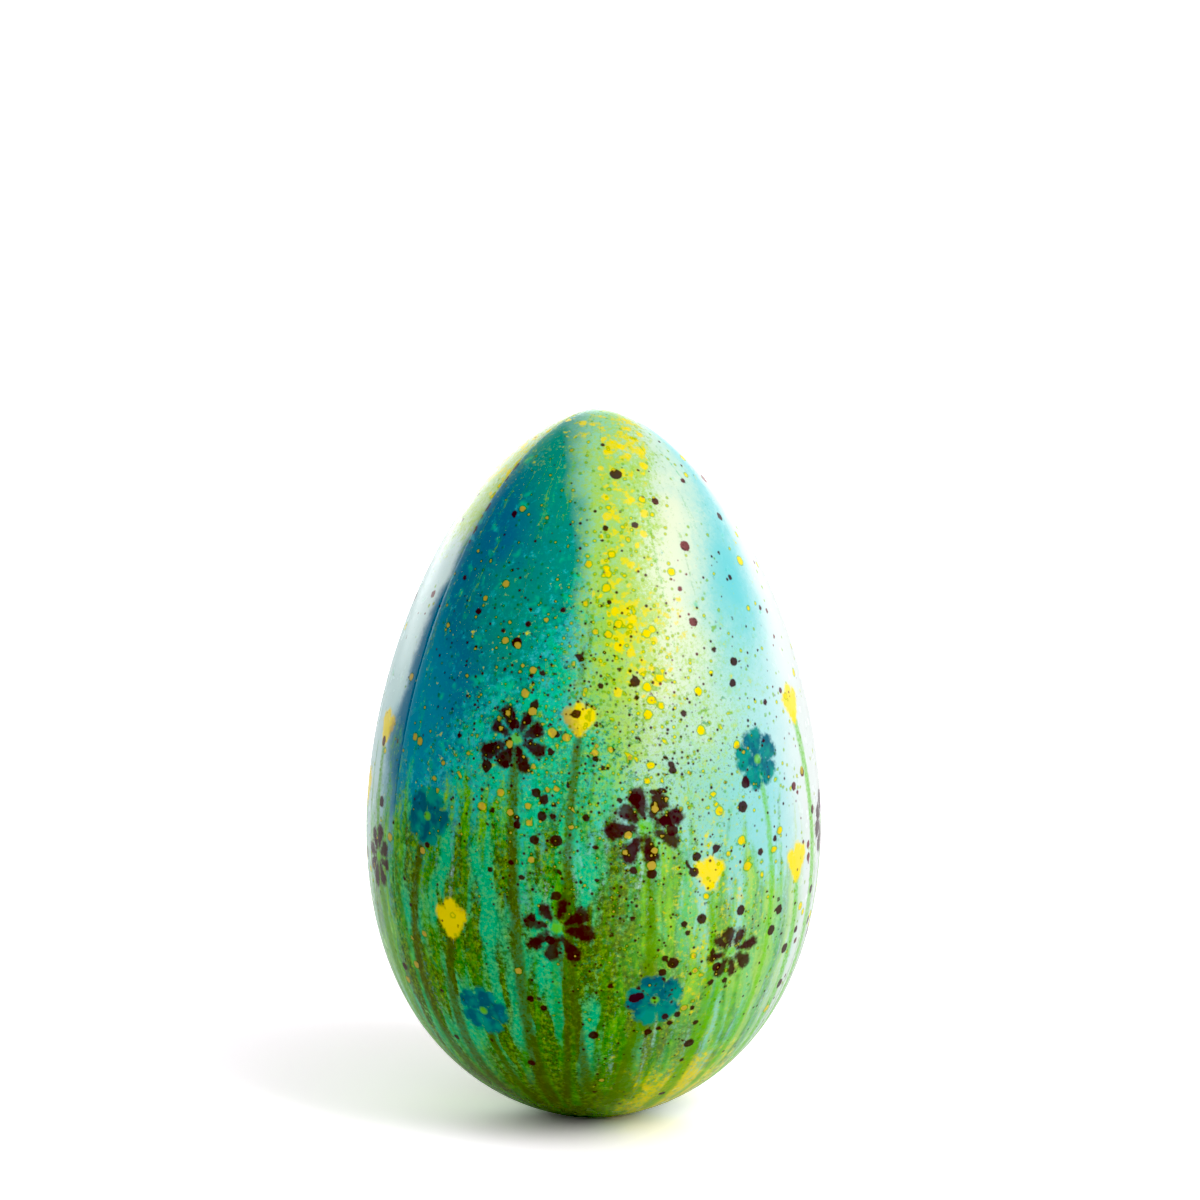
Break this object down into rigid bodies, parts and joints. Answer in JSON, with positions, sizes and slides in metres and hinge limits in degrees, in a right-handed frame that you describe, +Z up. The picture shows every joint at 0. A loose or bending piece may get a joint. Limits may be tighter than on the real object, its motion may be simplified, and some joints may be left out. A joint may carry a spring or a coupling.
{
  "type": "chocolate egg",
  "caption": "Moulded chocolate egg, painted in glossy coloured cocoa butter, joined from halves along a fine seam and standing on a small flat.",
  "frame": {"origin": "centre of the small flat that the egg stands on", "axes": "+Z up along the egg's axis towards its pointed end; the front of the painting faces -Y, and the seam runs down the side 60 degrees to its left"},
  "size_m": [0.095, 0.095, 0.1491],
  "materials": {
    "painted_shell": "glossy coloured cocoa butter over chocolate: blue and teal above, streaked green below, with fine mist, drops and small brushed flowers"
  },
  "bodies": {
    "root": {"egg_shell": "painted_shell"}
  },
  "joints": []
}
